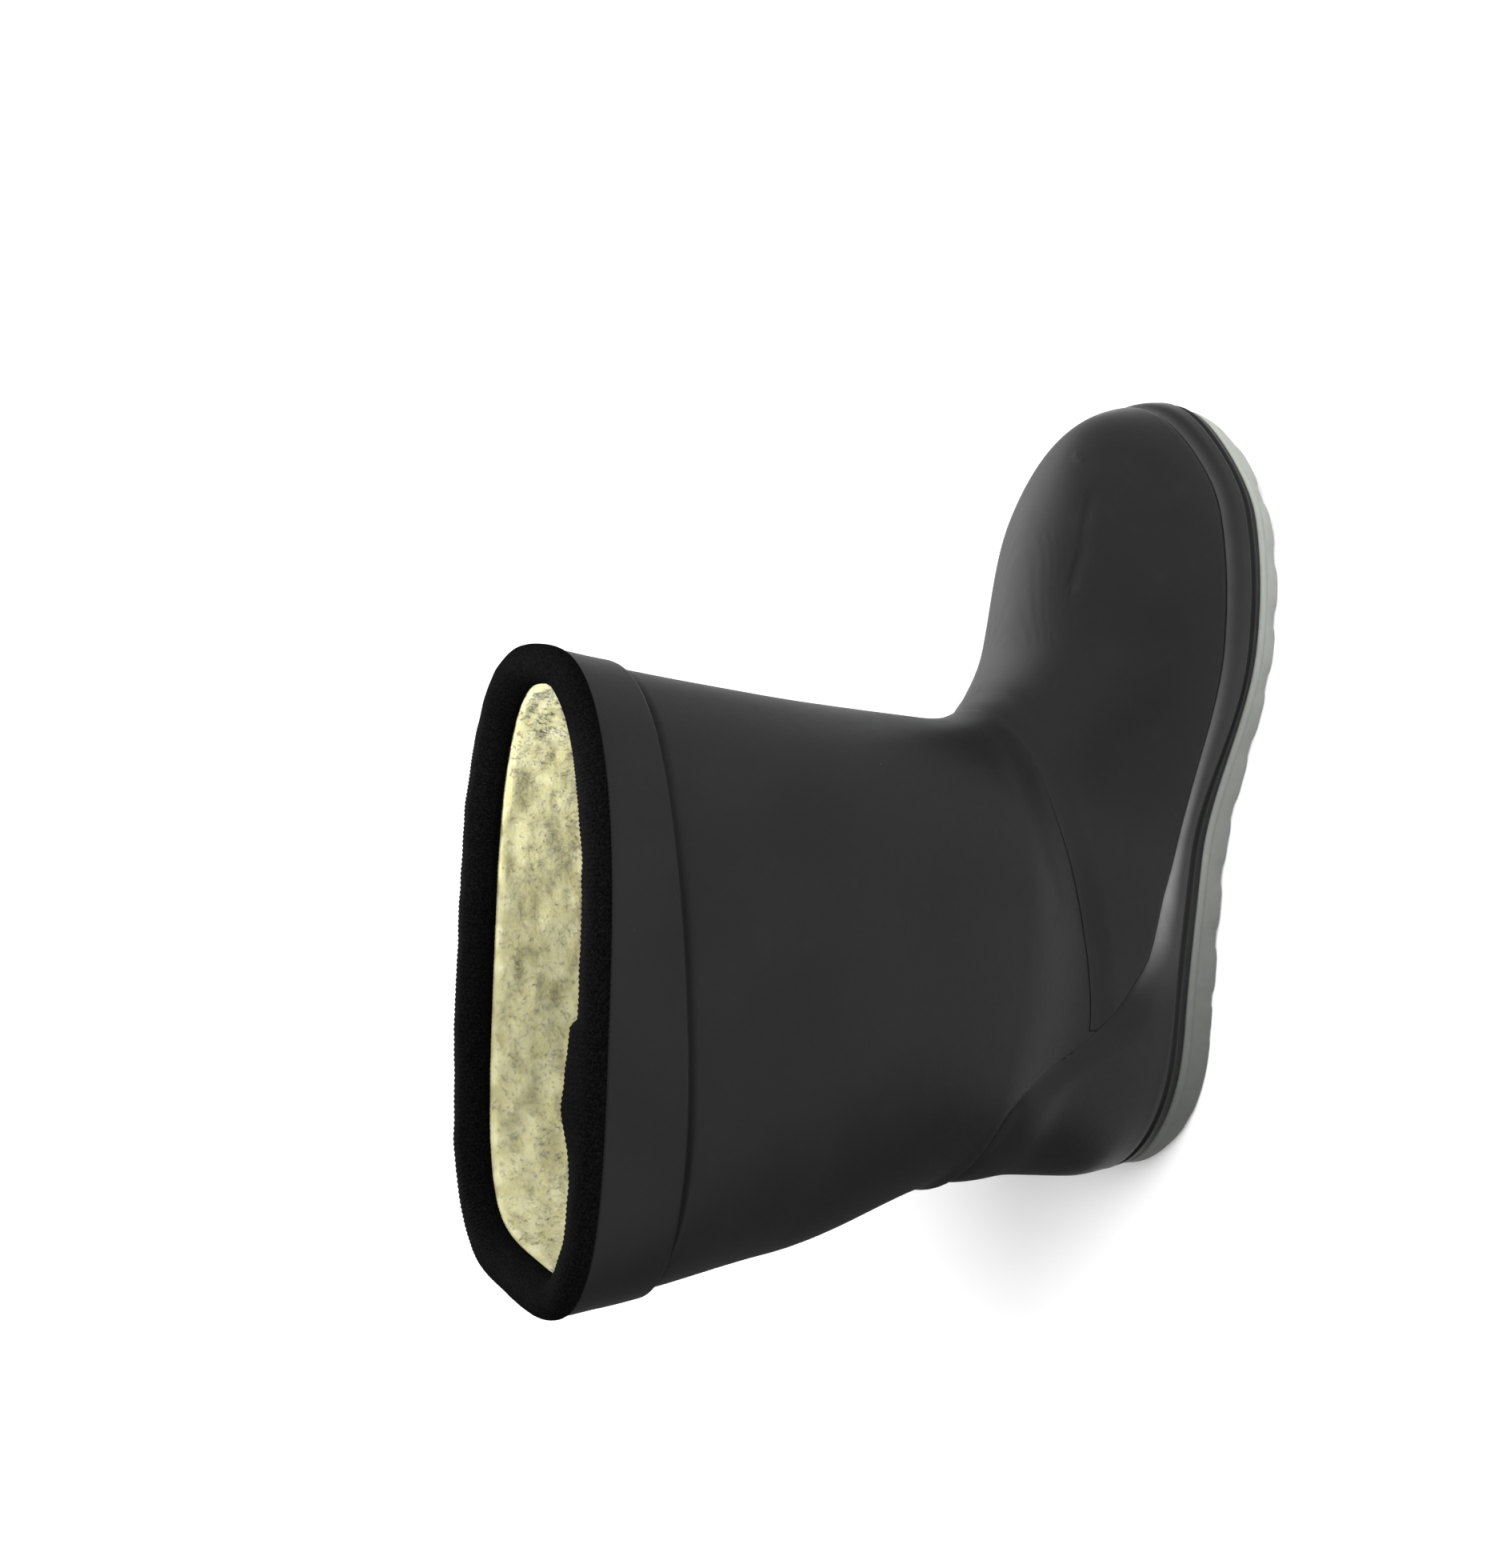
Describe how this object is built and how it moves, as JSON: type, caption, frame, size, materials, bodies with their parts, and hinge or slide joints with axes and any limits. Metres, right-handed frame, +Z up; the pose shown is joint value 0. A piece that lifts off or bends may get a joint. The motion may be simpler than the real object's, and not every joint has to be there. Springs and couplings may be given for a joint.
{
  "type": "insulated rubber boot",
  "caption": "Short black rubber boot with plush lining, knitted collar tape, heel counter, vamp panel and grey lugged sole, for a child's left foot.",
  "frame": {"origin": "on the floor under the middle of the heel seat", "axes": "+X from heel to toe, +Y to the wearer's left, +Z up"},
  "size_m": [0.1934, 0.0688, 0.1552],
  "materials": {
    "black_rubber": "satin moulded rubber",
    "grey_rubber": "matt moulded rubber",
    "knit_tape": "fine crosswise rib knit",
    "plush": "cream pile"
  },
  "bodies": {
    "root": {"outsole": "grey_rubber", "insole": "plush", "upper": "black_rubber", "vamp": "black_rubber", "rand": "black_rubber", "cuff": "black_rubber", "binding": "knit_tape"}
  },
  "joints": []
}
